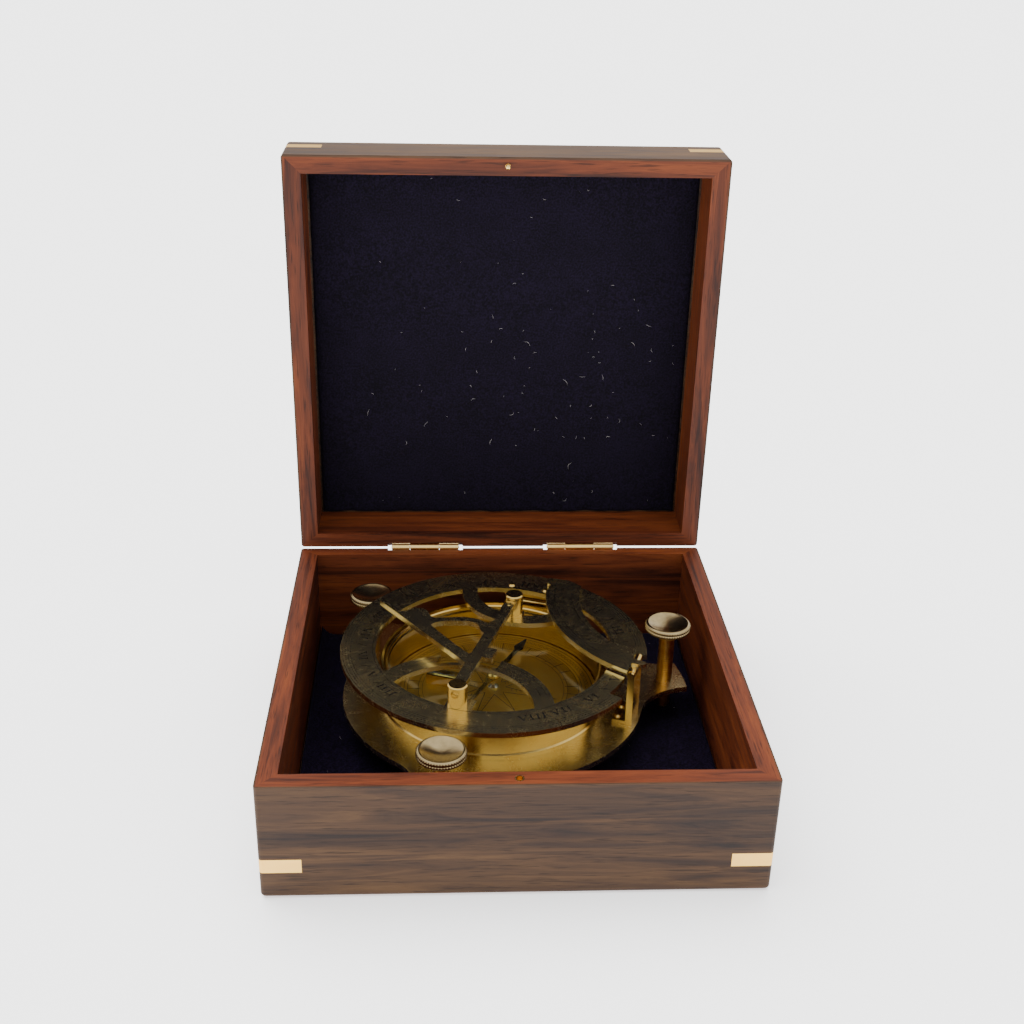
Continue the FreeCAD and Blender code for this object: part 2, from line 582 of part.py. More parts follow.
for side, start in (("west", "-tilt_half - 1.1"), ("east", "tilt_half")):
    pin_head.append(across(f"tilt_pin_head_{side}", "tilt_barrel - 0.4", start, "1.1"))
on_dial(join("tilt_pin_solid", *pin_head), "ring_hinge_pin")

RING_LOW = "( ring_top - ring_thick )"
flange = block("leaf_flange", "2 * tilt_half", "tilt_y + bracket_thick / 2 - 42.6", "1.2",
               ("-tilt_half", "42.6", f"{RING_LOW} - 1.2"))
skirt = block("leaf_skirt", "2 * tilt_half", "bracket_thick", f"{RING_LOW} - tilt_z - 2.3",
              ("-tilt_half", SKIN, "tilt_z + 2.3"))
tongue = block("leaf_tongue", "2 * tilt_knuckle", "bracket_thick", "3",
               ("-tilt_knuckle", SKIN, "tilt_z"))
leaf_solid = join("leaf_solid", flange, skirt, tongue,
                  across("leaf_knuckle", "tilt_barrel", "-tilt_knuckle", "2 * tilt_knuckle"))
rivets = []
for side, x in (("west", "-rivet_x"), ("east", "rivet_x")):
    shank = rod(f"rivet_{side}_shank", "rivet_rad", "ring_thick + 1.2", (x, "rivet_y", f"{RING_LOW} - 1.2"))
    head = cone(f"rivet_{side}_head", "rivet_rad + 0.3", "rivet_rad - 0.2", "0.7", (x, "rivet_y", "ring_top"))
    rivets.append(join(f"rivet_{side}", shank, head))
rivet_set = group("rivet_set", *rivets)
on_dial(cut("leaf_drilled", leaf_solid, rivet_set,
            across("leaf_bore", "tilt_pin + 0.05", "-tilt_half", "2 * tilt_half")), "ring_hinge_leaf")
on_dial(rivet_set, "ring_hinge_rivets")


# ---------------------------------------------------------------- the hour ring
def disc(name, radius, y="0", extra="0"):
    """A disc as thick as the ring, at the ring's height; extra makes it taller both ways."""
    return rod(name, radius, f"ring_thick + 2 * {extra}", ("0", y, f"{RING_LOW} - {extra}"))


annulus = cut("ring_annulus", disc("ring_disc", "ring_rad"), disc("ring_hole", "ring_inner", extra="1"))
south_web = both("south_web", disc("south_field", "ring_inner + 0.5"),
                 cut("south_band", disc("south_outer", "south_web_outer", "south_web_y"),
                     disc("south_inner", "south_web_inner", "south_web_y", "1")))
north_web = both("north_web", disc("north_field", "ring_inner + 0.5"),
                 cut("north_band", disc("north_outer", "north_web_outer", "north_web_y"),
                     disc("north_inner", "north_web_inner", "north_web_y", "1")))
tab = block("front_tab", "9.4", "7", "ring_thick", ("-3.9", "-ring_inner - 0.6", RING_LOW))
boss = rod("back_boss", "post_rad + 0.6", "ring_thick", ("0", "back_post_y", RING_LOW))
ring_solid = join("ring_solid", annulus, south_web, north_web, tab, boss)

web_relief = both("web_relief",
                  cut("relief_band", disc("relief_outer", "south_web_outer + 1", "south_web_y", "1"),
                      disc("relief_inner", "web_bridge", "south_web_y", "2")),
                  block("relief_window", "21.5", "20", "ring_thick + 2", ("-15.5", "-20", f"{RING_LOW} - 1")))
notch_edges = [arc(polar(s("notch_rad"), s("notch_from")), polar(s("notch_rad"), 0),
                   polar(s("notch_rad"), s("notch_to")))]
notch_edges += path([polar(s("notch_rad"), s("notch_to")), polar(60, s("notch_to")),
                     polar(60, s("notch_from")), polar(s("notch_rad"), s("notch_from"))])
rim_notch = plate("rim_notch", notch_edges, f"{RING_LOW} - 1", "ring_thick + 2")
arc_slot = plate("arc_slot", path([(40, -2.5), (50, -6.2), (56, -7.0), (56, 10.0), (48.6, 10.0), (45, 10.6),
                                   (40, 13.4)], closed=True), f"{RING_LOW} - 1", "ring_thick + 2")
feet = [rod("front_post_hole", "1.5", "ring_thick + 2", ("0", "front_post_y", f"{RING_LOW} - 1")),
        rod("back_post_hole", "1.5", "ring_thick + 2", ("0", "back_post_y", f"{RING_LOW} - 1"))]
on_dial(cut("ring_cut", ring_solid, web_relief, rim_notch, arc_slot, rivet_set, *feet), "hour_ring")


def post(name, y, bore_from, bore_long):
    """A turned post riveted into the ring, bored for the gnomon's journal."""
    column = turned(name + "_column", [
        (0, s("ring_top") - s("ring_thick")), (1.5, s("ring_top") - s("ring_thick")), (1.5, s("ring_top")),
        (s("post_rad"), s("ring_top")), (s("post_rad"), s("ring_top") + s("post_tall") - 0.4),
        (s("post_rad") - 0.4, s("ring_top") + s("post_tall")), (0, s("ring_top") + s("post_tall"))])
    bore = rod(name + "_bore", "post_bore", bore_long, ("0", bore_from, "pivot_z"), V(0, 1, 0))
    moved = group(name + "_moved", column)
    moved.Placement.Base = V(0, y, 0)
    return cut(name, moved, bore)


on_dial(post("front_post", s("front_post_y"), "front_post_y - post_rad - 1", "2 * post_rad + 2"),
        "gnomon_front_post")
on_dial(post("back_post", s("back_post_y"), "back_post_y - post_rad - 1", "post_rad + 3.2"),
        "gnomon_back_post")


# ---------------------------------------------------------------- the gnomon, folded to the west
STYLE_TIP, STYLE_HEEL = (-46.2, 6.2), (-2.6, -24.3)
outline = path([(-2.6, -36.2), STYLE_HEEL, STYLE_TIP, (-44.6, 7.3), (-37.4, 1.6)])
outline.append(curve([(-37.4, 1.6), (-34.2, 2.4), (-32.2, 4.9), (-29.6, 5.7), (-26.9, 4.6), (-25.3, 2.4),
                      (-22.1, 0.7)]))
outline.append(curve([(-22.1, 0.7), (-18.8, 2.3), (-15.2, 3.9), (-11.2, 4.9), (-6.6, 4.6), (-3.6, 3.4)]))
outline.append(curve([(-3.6, 3.4), (-2.2, 5.4), (-1.6, 8.6), (-1.4, 20.9)]))
outline += path([(-1.4, 20.9), (1.6, 20.9), (1.6, -12.7), (5.2, -12.7), (5.2, -19.2), (1.6, -19.2),
                 (1.6, -36.2), (-2.6, -36.2)])
gnomon_blank = plate("gnomon_blank", outline, "pivot_z - gnomon_thick / 2", "gnomon_thick")
hole = [curve([(-22.4, -4.6), (-20.6, -1.6), (-17.6, 0.0), (-13.6, 1.5), (-9.4, 2.3), (-6.4, 1.0),
               (-4.6, -1.9), (-2.6, -3.6)])]
hole += path([(-2.6, -3.6), (-2.6, -17.6), (-3.3, -18.6), (-10.2, -13.9), (-22.4, -4.6)])
pierced = cut("gnomon_pierced", gnomon_blank,
              plate("gnomon_hole", hole, "pivot_z - gnomon_thick", "2 * gnomon_thick"))
front_journal = rod("front_journal", "journal_rad", "5.6", ("0", "-41.4", "pivot_z"), V(0, 1, 0))
back_journal = rod("back_journal", "journal_rad", "5.2", ("0", "18", "pivot_z"), V(0, 1, 0))
on_dial(join("gnomon_solid", pierced, front_journal, back_journal), "gnomon")


# ---------------------------------------------------------------- the latitude arc and its bracket
def lengthwise(name, radius, start, length):
    """A rod on the latitude arc's fold axis, which runs north-south."""
    return rod(name, radius, length, ("fold_x", start, "fold_z"), V(0, 1, 0))


FOLD_LEVEL = "fold_z - arc_thick / 2"
arc_hole = rod("arc_hole", "arc_inner", "arc_thick + 2", ("arc_inner_x", "arc_inner_y", f"{FOLD_LEVEL} - 1"))
arc_disc = rod("arc_disc", "arc_outer", "arc_thick", ("arc_x", "arc_y", FOLD_LEVEL))
arc_band = cut("arc_band", arc_disc, arc_hole)
ARC_OUTLINE = [(51.5, -12), (51.5, 9), (26, 47.5), (20.8, 48.3), (16.5, 50.4), (14, 51.6), (4.6, 51.2),
               (4.6, 47.2), (8.3, 46.2), (8.3, 42.4), (6, 36), (30, -12)]
arc_field = plate("arc_field", path(ARC_OUTLINE, closed=True), f"{FOLD_LEVEL} - 1", "arc_thick + 2")
KNUCKLE_FROM, KNUCKLE_LONG = -2.2, 5.2
clearance = cut("arc_knuckle_gaps", lengthwise("arc_gap_all", "fold_barrel + 0.3", "-14", "30"),
                lengthwise("arc_gap_keep", "fold_barrel + 2", f"{KNUCKLE_FROM}", f"{KNUCKLE_LONG}"))
arc_flat = cut("arc_relieved", both("arc_trimmed", arc_band, arc_field), clearance)
arc_knuckle = lengthwise("arc_knuckle", "fold_barrel", f"{KNUCKLE_FROM}", f"{KNUCKLE_LONG}")
stop_low = "fold_z + stop_clear"
stop_arm = block("stop_arm", "stop_reach", "2 * stop_half", "stop_thick",
                 ("fold_x - stop_back", "stop_y - stop_half", stop_low))
stop_end = rod("stop_end", "stop_half", "stop_thick", ("fold_x - stop_back + stop_reach", "stop_y", stop_low))
arc_solid = join("arc_solid", arc_flat, arc_knuckle, stop_arm, stop_end)
on_dial(cut("arc_bored", arc_solid, lengthwise("arc_bore", "fold_pin + 0.05", "-14", "30")), "latitude_arc")

PROP_X = "fold_x - prop_thick / 2"
wall = block("prop_wall", "prop_thick", "prop_to - prop_from", f"fold_z - {PLATE_TOP}",
             (PROP_X, "prop_from", PLATE_TOP))
prop_window = block("prop_window", "prop_thick + 2", f"{KNUCKLE_LONG} + 0.3", "12",
                    (f"{PROP_X} - 1", f"{KNUCKLE_FROM} - 0.15", "fold_z - fold_barrel - 0.4"))
prop_foot = block("prop_foot_block", "prop_foot", "prop_to - prop_from", "bracket_thick",
                  (f"{PROP_X} - prop_foot + prop_thick", "prop_from", PLATE_TOP))
barrels = [lengthwise("prop_barrel_south", "fold_barrel", "prop_from", f"{KNUCKLE_FROM} - 0.15 - prop_from"),
           lengthwise("prop_barrel_north", "fold_barrel", f"{KNUCKLE_FROM + KNUCKLE_LONG} + 0.15",
                      f"prop_to - {KNUCKLE_FROM + KNUCKLE_LONG} - 0.15")]
prop_solid = join("prop_solid", wall, prop_foot, *barrels)
on_dial(cut("prop_cut", prop_solid, prop_window, prop_screws,
            lengthwise("prop_bore", "fold_pin", "-14", "30")), "latitude_bracket")
pin_rod = lengthwise("fold_pin_rod", "fold_pin", "prop_from - 0.5", "prop_to - prop_from + 1")
pin_end = lengthwise("fold_pin_head", "fold_barrel - 0.2", "prop_from - 1.2", "1.2")
on_dial(join("fold_pin_solid", pin_rod, pin_end), "latitude_hinge_pin")


# ---------------------------------------------------------------- check and write
DOC.recompute()
faults = [f"{thing.Name}: {thing.State}" for thing in DOC.Objects
          if "Invalid" in thing.State or "Error" in thing.State]
for thing in PIECES:
    shape = thing.Shape
    if shape.isNull() or not shape.isValid() or not shape.Solids:
        faults.append(f"{thing.Label}: empty or invalid shape")
if faults:
    raise RuntimeError("; ".join(faults))
os.makedirs("parts", exist_ok=True)
for thing in PIECES:
    thing.Shape.exportStep(f"parts/{thing.Label}.step")
    print(f"{thing.Label}: {len(thing.Shape.Solids)} solid(s), {thing.Shape.Volume:.1f} mm3")
print(len(PIECES), "sub-parts")
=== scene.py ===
"""Looks of the boxed inclining sundial: rosewood box with brass inlays, navy velvet, polished brass dial.

Metres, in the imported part's own frame. Each section holds one piece or one group of like pieces.
"""
import math

import bpy
import numpy as np
from mathutils import Matrix, Vector


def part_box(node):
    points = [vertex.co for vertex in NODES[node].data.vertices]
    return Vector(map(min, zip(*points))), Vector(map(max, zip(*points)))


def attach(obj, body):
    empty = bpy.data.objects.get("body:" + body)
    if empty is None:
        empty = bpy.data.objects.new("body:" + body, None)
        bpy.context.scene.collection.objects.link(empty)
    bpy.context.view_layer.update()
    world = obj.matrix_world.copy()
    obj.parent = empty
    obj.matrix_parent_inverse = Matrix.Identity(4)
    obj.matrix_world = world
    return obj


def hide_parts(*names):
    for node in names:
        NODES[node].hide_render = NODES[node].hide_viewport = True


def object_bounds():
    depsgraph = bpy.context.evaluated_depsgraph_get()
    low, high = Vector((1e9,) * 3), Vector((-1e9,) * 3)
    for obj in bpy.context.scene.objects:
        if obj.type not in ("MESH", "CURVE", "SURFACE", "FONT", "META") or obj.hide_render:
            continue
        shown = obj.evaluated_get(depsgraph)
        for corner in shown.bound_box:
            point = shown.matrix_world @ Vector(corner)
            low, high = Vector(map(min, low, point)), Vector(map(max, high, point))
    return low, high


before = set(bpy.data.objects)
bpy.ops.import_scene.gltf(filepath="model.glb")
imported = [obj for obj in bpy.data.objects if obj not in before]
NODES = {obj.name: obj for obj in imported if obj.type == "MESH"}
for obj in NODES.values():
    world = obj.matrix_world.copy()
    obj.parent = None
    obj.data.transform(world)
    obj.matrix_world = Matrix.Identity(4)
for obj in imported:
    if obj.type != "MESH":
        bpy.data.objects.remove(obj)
cad_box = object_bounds()
MM = 0.001

# ---------------------------------------------------------------- table, light and camera
# A white, faintly lit table top under a white sky, one wide soft light overhead that makes no reflections, and a
# short telephoto view from above the front edge of the box.


def linear(hex_colour):
    """An sRGB hex colour as linear RGBA: c/12.92 below 0.04045, else ((c + 0.055) / 1.055) ** 2.4."""
    values = [int(hex_colour[i:i + 2], 16) / 255 for i in (1, 3, 5)]
    return [v / 12.92 if v <= 0.04045 else ((v + 0.055) / 1.055) ** 2.4 for v in values] + [1.0]


def add(tree, kind, settings=None, links=None):
    """Adds one node: settings go to its properties or, by name or number, to its sockets; links feed sockets."""
    node = tree.nodes.new(kind)
    for key, value in (settings or {}).items():
        if isinstance(key, str) and hasattr(node, key):
            setattr(node, key, value)
        else:
            node.inputs[key].default_value = value
    for key, socket in (links or {}).items():
        tree.links.new(socket, node.inputs[key])
    return node


def new_material(name):
    """An empty node material with its output; returns the material, its tree and the output node."""
    material = bpy.data.materials.new(name)
    material.use_nodes = True
    tree = material.node_tree
    tree.nodes.clear()
    return material, tree, tree.nodes.new("ShaderNodeOutputMaterial")


def surface(name, vertices, faces, material, smooth=True):
    """A mesh object in place from vertex rows (metres) and faces, with one material."""
    mesh = bpy.data.meshes.new(name)
    mesh.from_pydata(np.asarray(vertices, float).tolist(), [], [list(map(int, face)) for face in faces])
    mesh.validate()
    mesh.polygons.foreach_set("use_smooth", [smooth] * len(mesh.polygons))
    mesh.materials.append(material)
    thing = bpy.data.objects.new(name, mesh)
    bpy.context.scene.collection.objects.link(thing)
    return thing


def grid_faces(rows, columns, close_rows=False, close_columns=False):
    """Quads between neighbouring points of a rows x columns grid; a closed direction wraps round."""
    i = np.arange(rows if close_rows else rows - 1)[:, None]
    j = np.arange(columns if close_columns else columns - 1)[None, :]
    i2, j2 = (i + 1) % rows, (j + 1) % columns
    quads = np.stack(np.broadcast_arrays(i * columns + j, i * columns + j2, i2 * columns + j2, i2 * columns + j), -1)
    return quads.reshape(-1, 4)


paper, tree, out = new_material("white_paper")
shade = add(tree, "ShaderNodeBsdfPrincipled",
            {"Base Color": linear("#fdfdfd"), "Roughness": 0.95, "Emission Color": linear("#ffffff"),
             "Emission Strength": 0.9})
tree.links.new(shade.outputs[0], out.inputs[0])
TABLE_HALF, TABLE_DROP = 6.0, 0.1 * MM
run = np.linspace(-TABLE_HALF, TABLE_HALF, 25)
X, Y = np.meshgrid(run, run)
floor = surface("table", np.stack([X, Y, np.full_like(X, -TABLE_DROP)], -1).reshape(-1, 3),
                grid_faces(len(run), len(run)), paper)

world = bpy.data.worlds.new("studio")
bpy.context.scene.world = world
world.use_nodes = True
sky = world.node_tree.nodes["Background"]
sky.inputs["Color"].default_value = (1.0, 1.0, 1.0, 1.0)
sky.inputs["Strength"].default_value = 1.35

sky_light = bpy.data.lights.new("large_overhead_softbox", "SUN")
sky_light.energy = 5.5
sky_light.angle = math.radians(70)
lamp = bpy.data.objects.new("large_overhead_softbox", sky_light)
bpy.context.scene.collection.objects.link(lamp)
lamp.visible_glossy = False
lamp.rotation_euler = Vector((0.25, -0.35, -1.0)).to_track_quat("-Z", "Y").to_euler()

CAMERA_PLACE = (-0.02292, -0.40658, 0.29160)
CAMERA_DOWN, CAMERA_RIGHT, CAMERA_ROLL = 0.448, 0.056, 0.023
camera_data = bpy.data.cameras.new("view")
camera_data.lens = 47.38
camera_data.sensor_width = 36.0
camera_data.clip_start = 0.01
camera = bpy.data.objects.new("view", camera_data)
bpy.context.scene.collection.objects.link(camera)
ahead = Vector((math.sin(CAMERA_RIGHT) * math.cos(CAMERA_DOWN), math.cos(CAMERA_RIGHT) * math.cos(CAMERA_DOWN),
                -math.sin(CAMERA_DOWN)))
right = ahead.cross(Vector((0, 0, 1))).normalized()
up = right.cross(ahead)
rolled_right = math.cos(CAMERA_ROLL) * right + math.sin(CAMERA_ROLL) * up
rolled_up = math.cos(CAMERA_ROLL) * up - math.sin(CAMERA_ROLL) * right
turned_view = Matrix((rolled_right, rolled_up, -ahead)).transposed().to_4x4()
camera.matrix_world = Matrix.Translation(CAMERA_PLACE) @ turned_view
bpy.context.scene.camera = camera

# ---------------------------------------------------------------- rosewood walls and panels
# Plain-sawn rosewood, planed, stained and thinly waxed: brown figure with long dark streaks and short open
# pores along the grain, redder where it was cut last, on the rims, and duller on the outside faces.


def rosewood(name, along, outside, cut, gloss, faces, shift=(0.0, 0.0, 0.0)):
    """Wood whose grain runs along one axis. Figure is 6 mm wide and 80 mm long, pores are 0.5 mm by 10 mm.

    outside and cut are (light, middle, dark) tones: the first for the weathered outer faces, which lie beyond the
    given (axis, metres) planes, the second for the rims and inner faces, redder under their wax.
    """
    material, tree, out = new_material(name)
    place = add(tree, "ShaderNodeTexCoord").outputs["Object"]
    squeeze = [1.0, 1.0, 1.0]
    squeeze[along] = 0.07
    figure_space = add(tree, "ShaderNodeMapping", {"Scale": squeeze, "Location": shift}, {"Vector": place}).outputs[0]
    warp = add(tree, "ShaderNodeTexNoise", {"Scale": 1 / (22 * MM), "Detail": 3.0, "Distortion": 0.6},
               {"Vector": figure_space})
    figure = add(tree, "ShaderNodeTexNoise", {"Scale": 1 / (5.5 * MM), "Detail": 6.0, "Roughness": 0.62,
                                              "Distortion": 1.4}, {"Vector": figure_space})
    squeeze_pore = [1.0, 1.0, 1.0]
    squeeze_pore[along] = 0.05
    pore_space = add(tree, "ShaderNodeMapping", {"Scale": squeeze_pore}, {"Vector": place}).outputs[0]
    pores = add(tree, "ShaderNodeTexNoise", {"Scale": 1 / (0.55 * MM), "Detail": 2.0}, {"Vector": pore_space})
    half_warp = add(tree, "ShaderNodeMath", {"operation": "MULTIPLY", 1: 0.45}, {0: warp.outputs["Fac"]})
    mixed = add(tree, "ShaderNodeMath", {"operation": "MULTIPLY_ADD", 1: 0.55},
                {0: figure.outputs["Fac"], 2: half_warp.outputs[0]})
    ramps = []
    for light, middle, dark in (outside, cut):
        ramp = add(tree, "ShaderNodeValToRGB", links={"Fac": mixed.outputs[0]})
        ramp.color_ramp.elements[0].position = 0.37
        ramp.color_ramp.elements[0].color = linear(dark)
        ramp.color_ramp.elements[1].position = 0.65
        ramp.color_ramp.elements[1].color = linear(light)
        ramp.color_ramp.elements.new(0.5).color = linear(middle)
        ramps.append(ramp.outputs["Color"])
    split = add(tree, "ShaderNodeSeparateXYZ", links={"Vector": place})
    outer = None
    for axis, plane in faces:
        reach = split.outputs[axis]
        if plane < 0:
            reach = add(tree, "ShaderNodeMath", {"operation": "MULTIPLY", 1: -1.0}, {0: reach}).outputs[0]
        beyond = add(tree, "ShaderNodeMapRange", {"From Min": abs(plane) - 0.5 * MM, "From Max": abs(plane)},
                     {"Value": reach}).outputs[0]
        outer = beyond if outer is None else add(tree, "ShaderNodeMath", {"operation": "MAXIMUM"},
                                                 {0: outer, 1: beyond}).outputs[0]
    tone = add(tree, "ShaderNodeMix", {"data_type": "RGBA"}, {0: outer, 6: ramps[1], 7: ramps[0]})
    pore_mask = add(tree, "ShaderNodeMapRange", {"From Min": 0.42, "From Max": 0.31, "To Min": 0.0, "To Max": 0.6},
                    {"Value": pores.outputs["Fac"]})
    colour = add(tree, "ShaderNodeMix", {"data_type": "RGBA", 7: linear("#140a07")},
                 {0: pore_mask.outputs[0], 6: tone.outputs[2]})
    rough = add(tree, "ShaderNodeMapRange", {"To Min": gloss, "To Max": gloss + 0.2},
                {"Value": figure.outputs["Fac"]})
    relief = add(tree, "ShaderNodeMath", {"operation": "MULTIPLY_ADD", 1: 0.25},
                 {0: figure.outputs["Fac"], 2: pores.outputs["Fac"]})
    bump = add(tree, "ShaderNodeBump", {"Strength": 0.4, "Distance": 0.12 * MM}, {"Height": relief.outputs[0]})
    shade = add(tree, "ShaderNodeBsdfPrincipled", {"Specular IOR Level": 0.2},
                {"Base Color": colour.outputs[2], "Roughness": rough.outputs[0], "Normal": bump.outputs[0]})
    tree.links.new(shade.outputs[0], out.inputs[0])
    return material


BROWN = ("#583f27", "#3f2b1c", "#1e1310")
RED = ("#7b3f1f", "#5c2b16", "#2d130c")
BOX_LOW, BOX_HIGH = cad_box
HALF_WIDE, HALF_DEEP = BOX_HIGH[0] - 0.3 * MM, -BOX_LOW[1] - 0.3 * MM
BASE_FACES = [(0, HALF_WIDE), (0, -HALF_WIDE), (1, HALF_DEEP), (1, -HALF_DEEP)]
LID_FACES = [(0, HALF_WIDE), (0, -HALF_WIDE), (2, BOX_HIGH[2] - 0.9 * MM), (1, BOX_HIGH[1] - 2.9 * MM)]
for side, along in (("front", 0), ("back", 0), ("left", 1), ("right", 1)):
    NODES[f"base_{side}_wall"].data.materials[0] = rosewood(
        f"waxed_rosewood_base_{side}", along, BROWN, RED, 0.42, BASE_FACES, (0.3 * along, 0.2, 0.1))
for side, along in (("front", 0), ("back", 0), ("left", 2), ("right", 2)):
    NODES[f"lid_{side}_wall"].data.materials[0] = rosewood(
        f"waxed_rosewood_lid_{side}", along, BROWN, RED, 0.42, LID_FACES, (0.4, 0.3 * along, 0.2))
NODES["lid_top_panel"].data.materials[0] = rosewood(
    "waxed_rosewood_panel", 0, BROWN, BROWN, 0.4, LID_FACES, (0.1, 0.7, 0.4))
PLAIN = ("#6f5744", "#5a4534", "#3f2e24")
NODES["base_floor_panel"].data.materials[0] = rosewood(
    "sawn_board", 0, PLAIN, PLAIN, 0.65, BASE_FACES, (0.8, 0.1, 0.4))

# ---------------------------------------------------------------- brass fittings of the box
# Sheet brass strips let into the corners and sanded flush with the wood, small drawn-brass butt hinges, their
# brads, and the ball catch: fine straight sanding marks, no lacquer.


def brass(name, tone, rough, scratch_mm, haze, along=None):
    """Metal with fine marks: its roughness and tone vary with hairline scratches and hazy patches, along one axis
    where the marks are straight."""
    material, tree, out = new_material(name)
    place = add(tree, "ShaderNodeTexCoord").outputs["Object"]
    squeeze = [1.0, 1.0, 1.0]
    if along is not None:
        squeeze[along] = 0.04
    slant = 0.4 if along is None else 0.0
    hair_space = add(tree, "ShaderNodeMapping", {"Scale": squeeze, "Rotation": (0.0, 0.0, slant)},
                     {"Vector": place}).outputs[0]
    hair = add(tree, "ShaderNodeTexNoise", {"Scale": 1 / (scratch_mm * MM), "Detail": 4.0, "Roughness": 0.7},
               {"Vector": hair_space})
    cloud = add(tree, "ShaderNodeTexNoise", {"Scale": 1 / (9 * MM), "Detail": 5.0, "Roughness": 0.6,
                                             "Distortion": 0.8}, {"Vector": place})
    warm = [channel * factor for channel, factor in zip(linear(tone), (1.0, 0.86, 0.62, 1.0))]
    colour = add(tree, "ShaderNodeMix", {"data_type": "RGBA", 6: linear(tone), 7: warm},
                 {0: add(tree, "ShaderNodeMapRange", {"From Min": 0.35, "From Max": 0.75, "To Max": haze},
                         {"Value": cloud.outputs["Fac"]}).outputs[0]})
    gloss = add(tree, "ShaderNodeMath", {"operation": "MULTIPLY_ADD", 1: 0.16, 2: rough - 0.08},
                {0: add(tree, "ShaderNodeMath", {"operation": "MULTIPLY", 1: 1.6},
                        {0: add(tree, "ShaderNodeMath", {"operation": "MULTIPLY"},
                                {0: hair.outputs["Fac"], 1: cloud.outputs["Fac"]}).outputs[0]}).outputs[0]})
    bump = add(tree, "ShaderNodeBump", {"Strength": 0.12, "Distance": 0.02 * MM}, {"Height": hair.outputs["Fac"]})
    shade = add(tree, "ShaderNodeBsdfPrincipled", {"Metallic": 1.0},
                {"Base Color": colour.outputs[2], "Roughness": gloss.outputs[0], "Normal": bump.outputs[0]})
    tree.links.new(shade.outputs[0], out.inputs[0])
    return material


sanded_brass = brass("sanded_sheet_brass", "#f4c66d", 0.45, 0.5, 0.35, along=0)
for node in ("base_corner_inlays", "lid_corner_inlays"):
    NODES[node].data.materials[0] = sanded_brass
drawn_brass = brass("drawn_brass", "#efcf8a", 0.24, 0.4, 0.5)
for node in ("base_hinge_leaf_left", "base_hinge_leaf_right", "lid_hinge_leaf_left", "lid_hinge_leaf_right",
             "box_hinge_pin_left", "box_hinge_pin_right", "base_hinge_brads", "lid_hinge_brads",
             "catch_ball_stud", "catch_socket"):
    NODES[node].data.materials[0] = drawn_brass

# ---------------------------------------------------------------- velvet linings
# Navy cotton velvet glued over card in the floor of the box and inside the lid. Its cut edges lift a little
# against the walls, the lid's lower edge ripples, and pale lint clings to the pile.
velvet, tree, out = new_material("navy_cotton_velvet")
place = add(tree, "ShaderNodeTexCoord").outputs["Object"]
nap = add(tree, "ShaderNodeTexNoise", {"Scale": 1 / (14 * MM), "Detail": 6.0, "Roughness": 0.62, "Distortion": 0.5},
          {"Vector": place})
pile = add(tree, "ShaderNodeTexNoise", {"Scale": 1 / (0.7 * MM), "Detail": 3.0}, {"Vector": place})
mottled = add(tree, "ShaderNodeMath", {"operation": "MULTIPLY_ADD", 1: 0.8},
              {0: pile.outputs["Fac"], 2: add(tree, "ShaderNodeMath", {"operation": "MULTIPLY", 1: 0.2},
                                              {0: nap.outputs["Fac"]}).outputs[0]})
ramp = add(tree, "ShaderNodeValToRGB", links={"Fac": mottled.outputs[0]})
ramp.color_ramp.elements[0].position = 0.38
ramp.color_ramp.elements[0].color = linear("#050309")
ramp.color_ramp.elements[1].position = 0.68
ramp.color_ramp.elements[1].color = linear("#150e21")
bump = add(tree, "ShaderNodeBump", {"Strength": 0.6, "Distance": 0.35 * MM}, {"Height": pile.outputs["Fac"]})
shade = add(tree, "ShaderNodeBsdfPrincipled",
            {"Roughness": 0.95, "Specular IOR Level": 0.15, "Sheen Weight": 0.05, "Sheen Roughness": 0.45,
             "Sheen Tint": linear("#4a4268")},
            {"Base Color": ramp.outputs["Color"], "Normal": bump.outputs[0]})
tree.links.new(shade.outputs[0], out.inputs[0])


